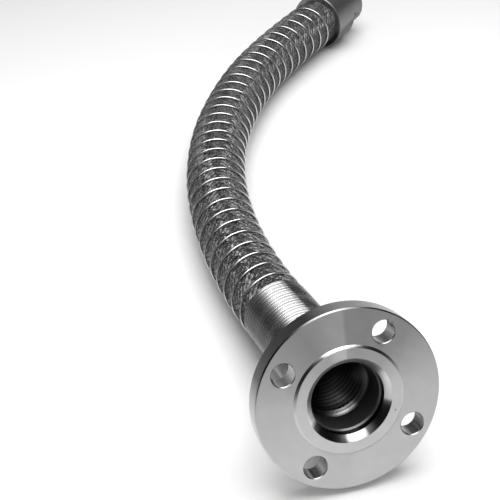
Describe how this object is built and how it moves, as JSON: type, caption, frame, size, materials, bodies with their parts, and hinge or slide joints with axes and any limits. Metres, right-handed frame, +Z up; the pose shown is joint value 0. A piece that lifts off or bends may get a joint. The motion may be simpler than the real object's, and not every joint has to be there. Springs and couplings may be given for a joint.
{
  "type": "vacuum_bellows_hose",
  "caption": "Braided stainless vacuum bellows hose with a bolted raised-face flange, a coiled guard wire, and a plain collar and pipe stub at the far end.",
  "frame": {"origin": "Centre of the flange's raised face. The floor it lies on is 77.9 mm below.", "axes": "+Z up. The flange looks toward -Y and leans back 19.3 degrees, so its outward normal is (0, -0.944, 0.330). The hose runs away toward +Y and bends toward +X."},
  "size_m": [0.4087, 0.8826, 0.1489],
  "materials": {
    "turned_steel": "satin",
    "pipe_steel": "satin",
    "bellows_steel": "satin",
    "braid_steel": "satin",
    "wire_steel": "polished"
  },
  "bodies": {
    "root": {"flange": "turned_steel", "near_tube": "pipe_steel", "bellows": "bellows_steel", "braid_sleeve": "braid_steel", "near_ferrule": "turned_steel", "guard_spring": "wire_steel", "far_ferrule": "turned_steel", "far_tube": "pipe_steel"}
  },
  "joints": []
}
